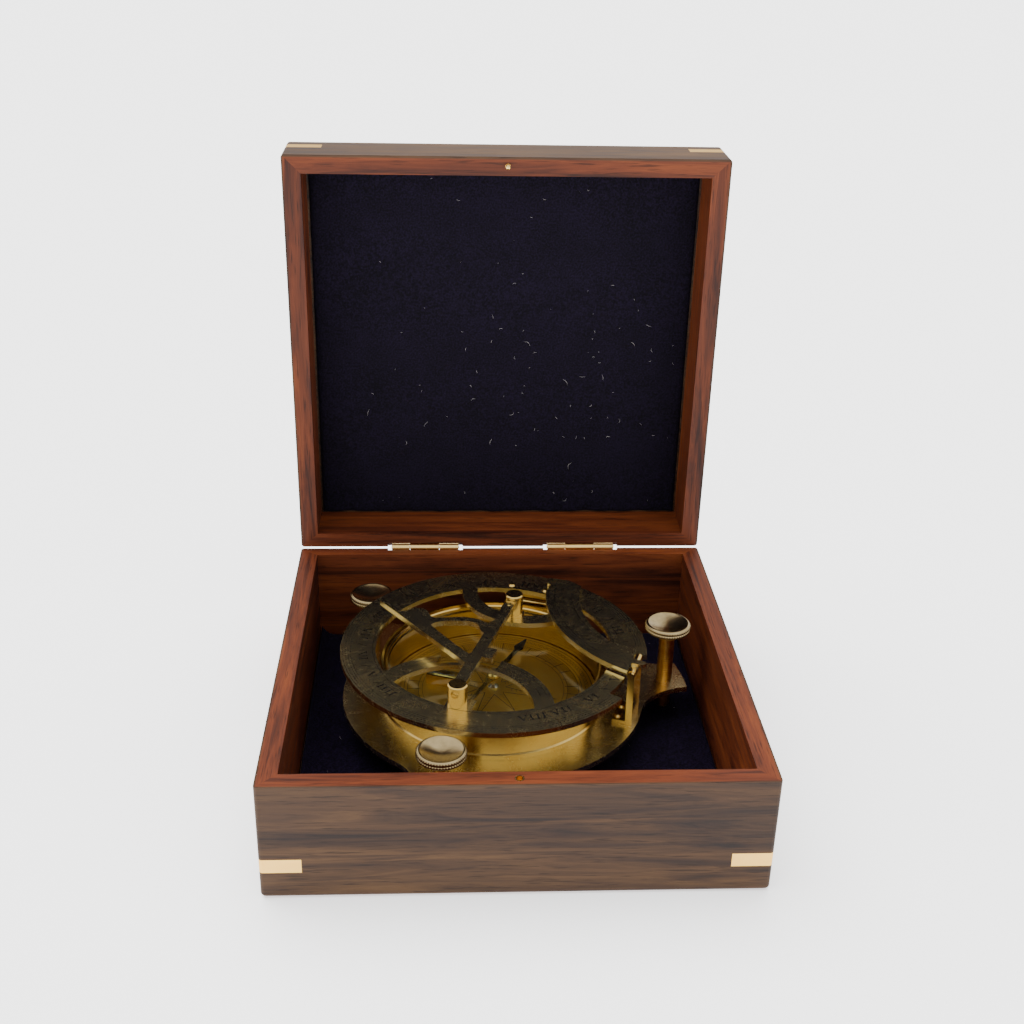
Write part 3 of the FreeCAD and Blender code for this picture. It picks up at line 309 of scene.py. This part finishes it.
def lining(name, node, body, turn, size, swell, lift):
    """A velvet pad with the middle and size of its CAD pad, built flat and turned about X by turn.

    Its face is a grid raised by swell times crossed sine waves, dropped 0.8 mm round its cut edge, and lifted by
    lift(u, v) where the cloth rides up; side walls and a flat back close it.
    """
    low, high = (np.array(corner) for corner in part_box(node))
    wide, deep, thick = size
    steps = 161
    u, v = np.meshgrid(np.linspace(0, 1, steps), np.linspace(0, 1, steps))
    waves = np.sin(5.1 * u + 2.3 * np.sin(3.7 * v)) * np.sin(4.3 * v + 1.7 * np.sin(2.9 * u)) \
        + 0.5 * np.sin(13 * u + 4 * v) * np.sin(11 * v - 3 * u)
    edge = np.minimum.reduce([u, 1 - u, v, 1 - v])
    round_off = 1 - np.clip(edge / 0.012, 0, 1) ** 0.5
    face = thick / 2 - swell + swell * waves * (1 - round_off) - 0.8 * MM * round_off + lift(u, v)
    points = np.stack([(u - 0.5) * wide, (v - 0.5) * deep, face], -1).reshape(-1, 3)
    rim = np.concatenate([np.arange(steps), np.arange(1, steps) * steps + steps - 1,
                          (steps - 1) * steps + np.arange(steps - 2, -1, -1), np.arange(steps - 2, 0, -1) * steps])
    back_rim = points[rim].copy()
    back_rim[:, 2] = -thick / 2
    here = np.arange(len(rim))
    after = (here + 1) % len(rim)
    base = steps * steps
    walls = np.stack([rim[here], base + here, base + after, rim[after]], -1)
    faces = grid_faces(steps, steps).tolist() + walls.tolist() + [(base + here[::-1]).tolist()]
    points = np.concatenate([points, back_rim])
    c, s = math.cos(turn), math.sin(turn)
    turned = np.stack([points[:, 0], c * points[:, 1] - s * points[:, 2], s * points[:, 1] + c * points[:, 2]], -1)
    mesh = bpy.data.meshes.new(name)
    mesh.from_pydata((turned + (low + high) / 2).tolist(), [], faces)
    mesh.validate()
    mesh.polygons.foreach_set("use_smooth", [len(p.vertices) == 4 for p in mesh.polygons])
    mesh.materials.append(velvet)
    thing = bpy.data.objects.new(name, mesh)
    bpy.context.scene.collection.objects.link(thing)
    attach(thing, body)
    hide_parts(node)


LID_LEAN, LID_PILE = math.radians(0.85), 1.4 * MM
floor_low, floor_high = (np.array(corner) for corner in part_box("base_velvet_lining"))
lid_low, lid_high = (np.array(corner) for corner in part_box("lid_velvet_lining"))
lid_tall = (lid_high[2] - lid_low[2] - LID_PILE * math.sin(LID_LEAN)) / math.cos(LID_LEAN)
LID_PAD = (lid_high[0] - lid_low[0], lid_tall, LID_PILE)
lining("base_lining_velvet", "base_velvet_lining", "box_base", 0.0, tuple(floor_high - floor_low), 0.15 * MM,
       lambda u, v: 4.2 * MM * np.exp(-u / 0.014) * (0.6 + 0.4 * v) + 1.4 * MM * np.exp(-(1 - u) / 0.012)
       + 1.0 * MM * np.exp(-v / 0.012) + 0.8 * MM * np.exp(-(1 - v) / 0.012))
lining("lid_lining_velvet", "lid_velvet_lining", "lid", math.pi / 2 + LID_LEAN, LID_PAD, 0.12 * MM,
       lambda u, v: 0.5 * MM * np.exp(-v / 0.01) * (1 + np.sin(61 * u) * np.sin(23 * u)))


def fibres(name, body, starts, headings, lengths, thickness, turn, centre, material):
    """Lint: each fibre is a three-sided tube along start + s * heading, bent by a sine of s, lying on the pile."""
    count, steps = len(starts), 7
    along = np.linspace(0, 1, steps)[None, :, None]
    direction = np.stack([np.cos(headings), np.sin(headings)], -1)[:, None, :]
    side = np.stack([-np.sin(headings), np.cos(headings)], -1)[:, None, :]
    bend = np.sin(math.pi * along) * lengths[:, None, None] * np.sin(7 * headings)[:, None, None] * 0.3
    middle = starts[:, None, :] + along * lengths[:, None, None] * direction + bend * side
    taper = thickness * (0.35 + 0.65 * np.sin(math.pi * along[..., 0]))
    corner = np.arange(3) * 2 * math.pi / 3
    ring = side[:, :, None, :] * (np.cos(corner)[None, None, :, None] * taper[:, :, None, None])
    rise = np.sin(corner)[None, None, :] * taper[:, :, None] + thickness
    flat = middle[:, :, None, :] + ring
    points = np.concatenate([flat, np.broadcast_to(rise, flat.shape[:3])[..., None]], -1).reshape(-1, 3)
    j, k = np.arange(steps - 1)[:, None], np.arange(3)[None, :]
    k2 = (k + 1) % 3
    quad = np.stack(np.broadcast_arrays(j * 3 + k, j * 3 + k2, (j + 1) * 3 + k2, (j + 1) * 3 + k), -1)
    faces = (quad.reshape(1, -1, 4) + (np.arange(count) * steps * 3)[:, None, None]).reshape(-1, 4).tolist()
    starts_of = np.arange(count) * steps * 3
    faces += [[a + 2, a + 1, a] for a in starts_of] + [[a + steps * 3 - 3, a + steps * 3 - 2, a + steps * 3 - 1]
                                                      for a in starts_of]
    c, s = math.cos(turn), math.sin(turn)
    turned = np.stack([points[:, 0], c * points[:, 1] - s * points[:, 2], s * points[:, 1] + c * points[:, 2]], -1)
    thing = surface(name, turned + centre, faces, material)
    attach(thing, body)


lint, tree, out = new_material("cotton_lint")
fluff = add(tree, "ShaderNodeTexNoise", {"Scale": 1 / (3 * MM)},
            {"Vector": add(tree, "ShaderNodeTexCoord").outputs["Object"]})
ramp = add(tree, "ShaderNodeValToRGB", links={"Fac": fluff.outputs["Fac"]})
ramp.color_ramp.elements[0].color = linear("#6f6a78")
ramp.color_ramp.elements[1].color = linear("#d8d3cc")
shade = add(tree, "ShaderNodeBsdfPrincipled", {"Roughness": 0.9}, {"Base Color": ramp.outputs["Color"]})
tree.links.new(shade.outputs[0], out.inputs[0])
dice = np.random.default_rng(11)
LID_LINT, FLOOR_LINT = 90, 40
spots = np.stack([dice.normal(0.014, 0.035, LID_LINT).clip(-0.068, 0.068),
                  dice.normal(-0.012, 0.035, LID_LINT).clip(-0.066, 0.066)], -1)
lid_middle = (lid_low + lid_high) / 2 + np.array([0, -0.7 * MM, 0])
fibres("lid_lint", "lid", spots, dice.uniform(0, math.pi, LID_LINT), dice.gamma(1.6, 0.7, LID_LINT) * MM,
       0.055 * MM, math.pi / 2 + LID_LEAN, lid_middle, lint)
spots = np.stack([dice.uniform(-0.066, 0.066, FLOOR_LINT), dice.uniform(-0.066, 0.066, FLOOR_LINT)], -1)
fibres("floor_lint", "box_base", spots, dice.uniform(0, math.pi, FLOOR_LINT),
       dice.gamma(1.6, 0.6, FLOOR_LINT) * MM, 0.05 * MM, 0.0,
       (floor_low + floor_high) / 2 + np.array([0, 0, 1.0 * MM]), lint)

# ---------------------------------------------------------------- polished brass of the dial
# Cast and rolled brass, filed, polished and long since handled: satin with hairlines and a brown haze in patches,
# greyer on the flat plates and yellower on the lathe-turned parts.
polished_plate = brass("polished_brass_plate", "#d8cb9a", 0.27, 0.35, 0.6)
turned_brass = brass("turned_brass", "#cfb26c", 0.22, 0.3, 0.45)
for node in ("hour_ring", "gnomon", "latitude_arc", "base_plate"):
    NODES[node].data.materials[0] = polished_plate
for node in ("compass_bowl", "glass_retaining_ring", "gnomon_front_post", "gnomon_back_post", "needle_cap",
             "ring_hinge_leaf", "ring_hinge_rivets", "ring_hinge_bracket", "ring_hinge_pin", "latitude_bracket",
             "latitude_hinge_pin", "bowl_screws", "ring_bracket_screws", "latitude_bracket_screws",
             "level_holder"):
    NODES[node].data.materials[0] = turned_brass
NODES["compass_dial"].data.materials[0] = brass("spun_brass_card", "#d0a95a", 0.45, 0.25, 0.5)

# ---------------------------------------------------------------- engraving
# Lines cut with a graver and filled with black wax: hours and half hours on the ring, dotted minutes at its
# rim, degree scales on the web and the latitude arc, and a compass rose with a beaded border on the card.
DIAL_TURN = math.radians(19.6)
card_low, card_high = (np.array(corner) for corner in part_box("compass_dial"))
DIAL_MIDDLE = (card_low + card_high)[:2] / 2
RING_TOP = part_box("hour_ring")[1][2]
ARC_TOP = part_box("latitude_bracket")[1][2] - 0.45 * MM
CARD_TOP = card_high[2]

engraved, tree, out = new_material("black_wax_in_engraving")
grime = add(tree, "ShaderNodeTexNoise", {"Scale": 1 / (1.5 * MM), "Detail": 3.0},
            {"Vector": add(tree, "ShaderNodeTexCoord").outputs["Object"]})
ramp = add(tree, "ShaderNodeValToRGB", links={"Fac": grime.outputs["Fac"]})
ramp.color_ramp.elements[0].color = linear("#050402")
ramp.color_ramp.elements[1].color = linear("#120d06")
shade = add(tree, "ShaderNodeBsdfPrincipled", {"Roughness": 0.55, "Specular IOR Level": 0.2},
            {"Base Color": ramp.outputs["Color"]})
tree.links.new(shade.outputs[0], out.inputs[0])


def engrave(name, body, corners, level):
    """Closed slabs from rows of four (x, y) corners in the dial's frame, mm, 0.02 mm proud of a surface at level."""
    corners = np.asarray(corners, float)
    count = len(corners)
    low = np.concatenate([corners, np.full((count, 4, 1), -0.03)], -1)
    high = np.concatenate([corners, np.full((count, 4, 1), 0.02)], -1)
    points = np.concatenate([low, high], 1).reshape(-1, 3) * MM
    box = np.array([[3, 2, 1, 0], [4, 5, 6, 7], [0, 1, 5, 4], [1, 2, 6, 5], [2, 3, 7, 6], [3, 0, 4, 7]])
    faces = (box[None] + (np.arange(count) * 8)[:, None, None]).reshape(-1, 4)
    c, s = math.cos(DIAL_TURN), math.sin(DIAL_TURN)
    x, y = points[:, 0], points[:, 1]
    placed = np.stack([DIAL_MIDDLE[0] + c * x + s * y, DIAL_MIDDLE[1] - s * x + c * y, level + points[:, 2]], -1)
    thing = surface(name, placed, faces, engraved, smooth=False)
    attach(thing, body)


def strokes(rows):
    """Rows of x0, y0, x1, y1, width become four corners each: the line widened to both sides."""
    rows = np.asarray(rows, float)
    start, end, width = rows[:, 0:2], rows[:, 2:4], rows[:, 4:5]
    along = (end - start) / np.linalg.norm(end - start, axis=1, keepdims=True)
    side = np.stack([-along[:, 1], along[:, 0]], -1) * width / 2
    return np.stack([start - side, end - side, end + side, start + side], 1)


def circle(radius, width, begin=0.0, end=360.0, centre=(0.0, 0.0)):
    """A circular line as short strokes of about 1.5 degrees."""
    steps = max(4, int(abs(end - begin) / 1.5))
    a = np.radians(np.linspace(begin, end, steps + 1))
    x, y = centre[0] + radius * np.cos(a), centre[1] + radius * np.sin(a)
    return strokes(np.stack([x[:-1], y[:-1], x[1:], y[1:], np.full(steps, width)], -1))


def ticks(inner, outer, begin, end, step, width, centre=(0.0, 0.0)):
    """Radial strokes between two radii at even angles."""
    a = np.radians(np.arange(begin, end + 1e-6, step))
    c, s = np.cos(a), np.sin(a)
    return strokes(np.stack([centre[0] + inner * c, centre[1] + inner * s, centre[0] + outer * c,
                             centre[1] + outer * s, np.full(len(a), width)], -1))


LETTERS = {"I": ([(0.5, 0, 0.5, 1, 0.2), (0.2, 0, 0.8, 0, 0.08), (0.2, 1, 0.8, 1, 0.08)], 0.75),
           "V": ([(0.1, 1, 0.55, 0, 0.2), (0.55, 0, 0.95, 1, 0.08), (-0.1, 1, 0.35, 1, 0.08),
                  (0.75, 1, 1.1, 1, 0.08)], 1.05),
           "X": ([(0.05, 1, 0.95, 0, 0.2), (0.95, 1, 0.05, 0, 0.08), (-0.1, 1, 0.3, 1, 0.08),
                  (0.7, 0, 1.1, 0, 0.08)], 1.05)}


def numeral(text, place, height):
    """Roman figures of a height, mm, at a place, their feet away from the dial's middle."""
    total = sum(LETTERS[letter][1] for letter in text)
    rows, at = [], -total / 2
    for letter in text:
        lines, wide = LETTERS[letter]
        rows += [(at + x0, y0 - 0.5, at + x1, y1 - 0.5, w) for x0, y0, x1, y1, w in lines]
        at += wide
    corners = strokes(rows) * height
    inward = -np.asarray(place) / np.linalg.norm(place)
    across = np.array([inward[1], -inward[0]])
    return corners[..., 0:1] * across + corners[..., 1:2] * inward + np.asarray(place)


def hour_place(hour, radius):
    """Where the line of an hour from noon meets a circle: from the dial's foot at (0, -22), turned by the angle whose
    tangent is sin 60 tan 15h."""
    turn = math.radians(15 * hour)
    lean = math.atan2(math.sin(math.radians(60)) * math.sin(turn), math.cos(turn))
    sx, sy = math.sin(lean), math.cos(lean)
    reach = 22 * sy + math.sqrt(radius ** 2 - (22 * sx) ** 2)
    return np.array([reach * sx, reach * sy - 22])


def azimuth(place):
    """A place's angle from east, in degrees."""
    return math.degrees(math.atan2(place[1], place[0]))


FIGURES = {-8: "IIII", -7: "V", -6: "VI", -5: "VII", -4: "VIII", -3: "IX", -2: "X", -1: "XI", 0: "XII", 1: "I",
           2: "II", 3: "III", 4: "IIII", 5: "V", 6: "VI", 7: "VII", 8: "VIII"}
FIGURE_CIRCLE, FIGURE_TALL = 46.9, 2.9
GAP_BEGIN, GAP_END = -9, 17  # degrees from east, where the ring is cut away for the latitude arc
marks = [numeral(text, hour_place(hour, FIGURE_CIRCLE), FIGURE_TALL) for hour, text in FIGURES.items()
         if not GAP_BEGIN < azimuth(hour_place(hour, FIGURE_CIRCLE)) < GAP_END]
for half in np.arange(-7.5, 8, 1.0):
    marks.append(strokes([(*hour_place(half, 45.2), *hour_place(half, 48.6), 0.2)]))
for quarter in np.arange(-8.0, 8.25, 0.25):
    if not GAP_BEGIN < azimuth(hour_place(quarter, 50)) < GAP_END:
        marks.append(strokes([(*hour_place(quarter, 50.0), *hour_place(quarter, 51.0), 0.16)]))
marks += [circle(51.1, 0.14, 17, 338), circle(52.0, 0.14, 17, 338), circle(54.0, 0.12, 17, 338),
          circle(43.3, 0.14, 17, 350), ticks(52.75, 53.15, 18, 337, 1.5, 0.42)]
WEB_MIDDLE = (0.0, -42.1)
marks += [circle(31.7, 0.13, 32, 148, WEB_MIDDLE), circle(29.4, 0.13, 32, 148, WEB_MIDDLE),
          ticks(29.4, 31.7, 34, 61, 1.5, 0.12, WEB_MIDDLE), ticks(29.4, 31.7, 83, 146, 1.5, 0.12, WEB_MIDDLE)]
engrave("ring_engraving", "hour_ring", np.concatenate(marks), RING_TOP)

ARC_MIDDLE = (68.0, 54.0)
marks = [circle(60.6, 0.13, 186, 238, ARC_MIDDLE), circle(58.2, 0.13, 184, 238, ARC_MIDDLE),
         circle(51.6, 0.12, 196, 236, ARC_MIDDLE), ticks(58.2, 60.6, 187, 237, 1.0, 0.12, ARC_MIDDLE),
         ticks(56.9, 60.6, 190, 235, 5.0, 0.16, ARC_MIDDLE), ticks(51.6, 52.6, 198, 235, 1.0, 0.1, ARC_MIDDLE)]
for angle in np.arange(190.0, 236.0, 10.0):
    x = ARC_MIDDLE[0] + 55.2 * math.cos(math.radians(angle))
    y = ARC_MIDDLE[1] + 55.2 * math.sin(math.radians(angle))
    marks.append(strokes([(x - 0.6, y, x + 0.6, y + 0.3, 0.2), (x - 0.5, y - 1.0, x + 0.7, y - 0.7, 0.2)]))
engrave("arc_engraving", "latitude_arc", np.concatenate(marks), ARC_TOP)

marks = [circle(36.2, 0.2), circle(32.4, 0.15), circle(31.2, 0.15), circle(27.2, 0.15), circle(25.8, 0.12),
         ticks(27.2, 31.2, 0, 359, 1.5, 0.13), ticks(26.2, 31.2, 0, 359, 10.0, 0.2)]
beads = np.radians(np.arange(0, 360, 3.0))[:, None]
corners = np.radians(np.arange(0, 361, 60))
BORDER_CIRCLE, BORDER_BEAD = 34.3, 0.75
bead_x = BORDER_CIRCLE * np.cos(beads) + BORDER_BEAD * np.cos(corners)
bead_y = BORDER_CIRCLE * np.sin(beads) + BORDER_BEAD * np.sin(corners)
marks.append(strokes(np.stack([bead_x[:, :-1], bead_y[:, :-1], bead_x[:, 1:], bead_y[:, 1:],
                               np.full_like(bead_x[:, 1:], 0.14)], -1).reshape(-1, 5)))
for angle in range(0, 360, 45):
    long = 24.0 if angle % 90 == 0 else 17.0
    tip = long * np.array([math.cos(math.radians(angle)), math.sin(math.radians(angle))])
    for swing in (-1, 1):
        beside = math.radians(angle + swing * 22.5)
        waist = 4.6 * np.array([math.cos(beside), math.sin(beside)])
        marks.append(strokes([(*waist, *tip, 0.2)]))
        if swing > 0:
            shades = np.linspace(0.12, 0.85, 9)[:, None]
            edge, middle = waist + (tip - waist) * shades, tip * (shades * 0.8 + 0.2)
            marks.append(strokes(np.concatenate([edge, middle, np.full((9, 1), 0.13)], -1)))
engrave("card_engraving", "instrument", np.concatenate(marks), CARD_TOP)

# ---------------------------------------------------------------- levelling screws and their knobs
# Turned brass screws with dished heads. Each head's rim carries two rows of rolled beads, and the dish keeps the
# fine rings of the lathe. The shafts are cut with a fine thread.
thread, tree, out = new_material("threaded_brass_rod")
place = add(tree, "ShaderNodeTexCoord").outputs["Object"]
pitch = add(tree, "ShaderNodeTexWave", {"wave_type": "BANDS", "bands_direction": "Z", "Scale": 0.314 / (0.8 * MM)},
            {"Vector": place})
stain = add(tree, "ShaderNodeTexNoise", {"Scale": 1 / (3 * MM), "Detail": 3.0}, {"Vector": place})
ramp = add(tree, "ShaderNodeValToRGB", links={"Fac": stain.outputs["Fac"]})
ramp.color_ramp.elements[0].color = linear("#b07a3c")
ramp.color_ramp.elements[1].color = linear("#e6bb6c")
bump = add(tree, "ShaderNodeBump", {"Strength": 0.5, "Distance": 0.15 * MM}, {"Height": pitch.outputs["Fac"]})
shade = add(tree, "ShaderNodeBsdfPrincipled", {"Metallic": 1.0, "Roughness": 0.28},
            {"Base Color": ramp.outputs["Color"], "Normal": bump.outputs[0]})
tree.links.new(shade.outputs[0], out.inputs[0])

lathe_rings, tree, out = new_material("lathe_turned_brass_knob")
place = add(tree, "ShaderNodeTexCoord").outputs["UV"]
rings = add(tree, "ShaderNodeTexWave",
            {"wave_type": "BANDS", "bands_direction": "Y", "Scale": 9.0, "Distortion": 0.6}, {"Vector": place})
haze = add(tree, "ShaderNodeTexNoise", {"Scale": 1 / (4 * MM), "Detail": 4.0},
           {"Vector": add(tree, "ShaderNodeTexCoord").outputs["Object"]})
ramp = add(tree, "ShaderNodeValToRGB", links={"Fac": haze.outputs["Fac"]})
ramp.color_ramp.elements[0].color = linear("#8f7a55")
ramp.color_ramp.elements[1].color = linear("#c9b588")
bump = add(tree, "ShaderNodeBump", {"Strength": 0.25, "Distance": 0.03 * MM}, {"Height": rings.outputs["Fac"]})
shade = add(tree, "ShaderNodeBsdfPrincipled", {"Metallic": 1.0, "Roughness": 0.22},
            {"Base Color": ramp.outputs["Color"], "Normal": bump.outputs[0]})
tree.links.new(shade.outputs[0], out.inputs[0])

KNOB_BEADS = 54


def beaded_knob(name, node, body):
    """A dished head: a profile of (share of radius, share of height) turned about its axis, with the two rows of
    beads as |sin| bulges, in angle and height, on its rim."""
    low, high = (np.array(corner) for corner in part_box(node))
    middle, radius, tall = (low + high) / 2, (high[0] - low[0]) / 2, high[2] - low[2]
    rim = np.linspace(0, 1, 17)
    profile = [(0.0, 0.0), (0.34, 0.0), (0.36, 0.0), (0.86, 0.1), (0.9, 0.12)]
    profile += [(0.93, 0.14 + 0.78 * step) for step in rim]
    profile += [(0.92, 0.95), (0.9, 0.985), (0.87, 1.0), (0.84, 0.985), (0.82, 0.95), (0.6, 0.74), (0.4, 0.58),
                (0.2, 0.46), (0.0, 0.42)]
    profile = np.array(profile)
    steps = KNOB_BEADS * 6
    angle = np.arange(steps) * 2 * math.pi / steps
    on_rim = np.zeros(len(profile))
    on_rim[5:22] = np.abs(np.sin(2 * math.pi * rim)) ** 0.7
    bulge = on_rim[:, None] * np.abs(np.sin(KNOB_BEADS * angle / 2))[None, :] ** 0.7 * 0.065
    reach = (profile[:, 0][:, None] + bulge) * radius
    X, Y = middle[0] + reach * np.cos(angle), middle[1] + reach * np.sin(angle)
    Z = np.broadcast_to(low[2] + profile[:, 1][:, None] * tall, X.shape)
    rows = len(profile)
    points = np.stack([X, Y, Z], -1)[1:-1].reshape(-1, 3)
    faces = grid_faces(rows - 2, steps, close_columns=True).tolist()
    bottom, top = len(points), len(points) + 1
    points = np.concatenate([points, [[middle[0], middle[1], low[2]],
                                      [middle[0], middle[1], low[2] + profile[-1, 1] * tall]]])
    k = np.arange(steps)
    last = (rows - 3) * steps
    faces += np.stack([np.full(steps, bottom), (k + 1) % steps, k], -1).tolist()
    faces += np.stack([np.full(steps, top), last + k, last + (k + 1) % steps], -1).tolist()
    thing = surface(name, points, faces, lathe_rings)
    layer = thing.data.uv_layers.new(name="lathe")
    corner = np.empty(len(thing.data.loops), int)
    thing.data.loops.foreach_get("vertex_index", corner)
    spot = points[corner] - middle
    uv = np.stack([np.arctan2(spot[:, 1], spot[:, 0]) / (2 * math.pi), np.hypot(spot[:, 0], spot[:, 1]) / radius], -1)
    layer.data.foreach_set("uv", uv.astype(np.float32).ravel())
    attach(thing, body)
    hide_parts(node)


for side in ("east", "west", "south"):
    NODES[f"{side}_levelling_screw"].data.materials[0] = thread
    beaded_knob(f"{side}_beaded_knob", f"{side}_screw_knob", f"{side}_screw")

# ---------------------------------------------------------------- compass glass, needle and spirit level
# A loose disc of thin window glass, a steel needle heat-blued at its north end and bright at its south end, and a
# short bubble tube in a brass trough.
glass, tree, out = new_material("thin_window_glass")
smears = add(tree, "ShaderNodeTexNoise", {"Scale": 1 / (8 * MM), "Detail": 4.0},
             {"Vector": add(tree, "ShaderNodeTexCoord").outputs["Object"]})
gloss = add(tree, "ShaderNodeMapRange", {"To Min": 0.02, "To Max": 0.09}, {"Value": smears.outputs["Fac"]})
clear = add(tree, "ShaderNodeBsdfTransparent", {"Color": linear("#f6faf8")})
shine = add(tree, "ShaderNodeBsdfGlossy", {"Color": linear("#ffffff")}, {"Roughness": gloss.outputs[0]})
facing = add(tree, "ShaderNodeFresnel", {"IOR": 1.45})
entering = add(tree, "ShaderNodeMath", {"operation": "SUBTRACT", 0: 1.0},
               {1: add(tree, "ShaderNodeNewGeometry").outputs["Backfacing"]})
mirrored = add(tree, "ShaderNodeMath", {"operation": "MULTIPLY"}, {0: facing.outputs[0], 1: entering.outputs[0]})
mixed = add(tree, "ShaderNodeMixShader", links={0: mirrored.outputs[0], 1: clear.outputs[0], 2: shine.outputs[0]})
tree.links.new(mixed.outputs[0], out.inputs[0])
NODES["compass_glass"].data.materials[0] = glass
NODES["level_vial"].data.materials[0] = glass

blued, tree, out = new_material("heat_blued_steel_needle")
NEEDLE_TURN = DIAL_TURN + math.radians(8.1)
place = add(tree, "ShaderNodeTexCoord").outputs["Object"]
lengthwise = add(tree, "ShaderNodeMapping",
                 {"vector_type": "TEXTURE", "Location": (DIAL_MIDDLE[0], DIAL_MIDDLE[1], 0.0),
                  "Rotation": (0.0, 0.0, -NEEDLE_TURN)}, {"Vector": place})
split = add(tree, "ShaderNodeSeparateXYZ", links={"Vector": lengthwise.outputs[0]})
oxide = add(tree, "ShaderNodeTexNoise", {"Scale": 1 / (2.5 * MM), "Detail": 3.0}, {"Vector": place})
north_share = add(tree, "ShaderNodeMapRange", {"From Min": -0.5 * MM, "From Max": 1.5 * MM},
                  {"Value": split.outputs["Y"]})
blue_tone = add(tree, "ShaderNodeMix", {"data_type": "RGBA", 6: linear("#161b3a"), 7: linear("#2c2440")},
                {0: oxide.outputs["Fac"]})
colour = add(tree, "ShaderNodeMix", {"data_type": "RGBA", 6: linear("#c9a96a")},
             {0: north_share.outputs[0], 7: blue_tone.outputs[2]})
shade = add(tree, "ShaderNodeBsdfPrincipled", {"Metallic": 1.0, "Roughness": 0.25}, {"Base Color": colour.outputs[2]})
tree.links.new(shade.outputs[0], out.inputs[0])
NODES["compass_needle"].data.materials[0] = blued
NODES["needle_pivot"].data.materials[0] = brass("bright_steel_pivot", "#c8c8c4", 0.25, 0.3, 0.2)
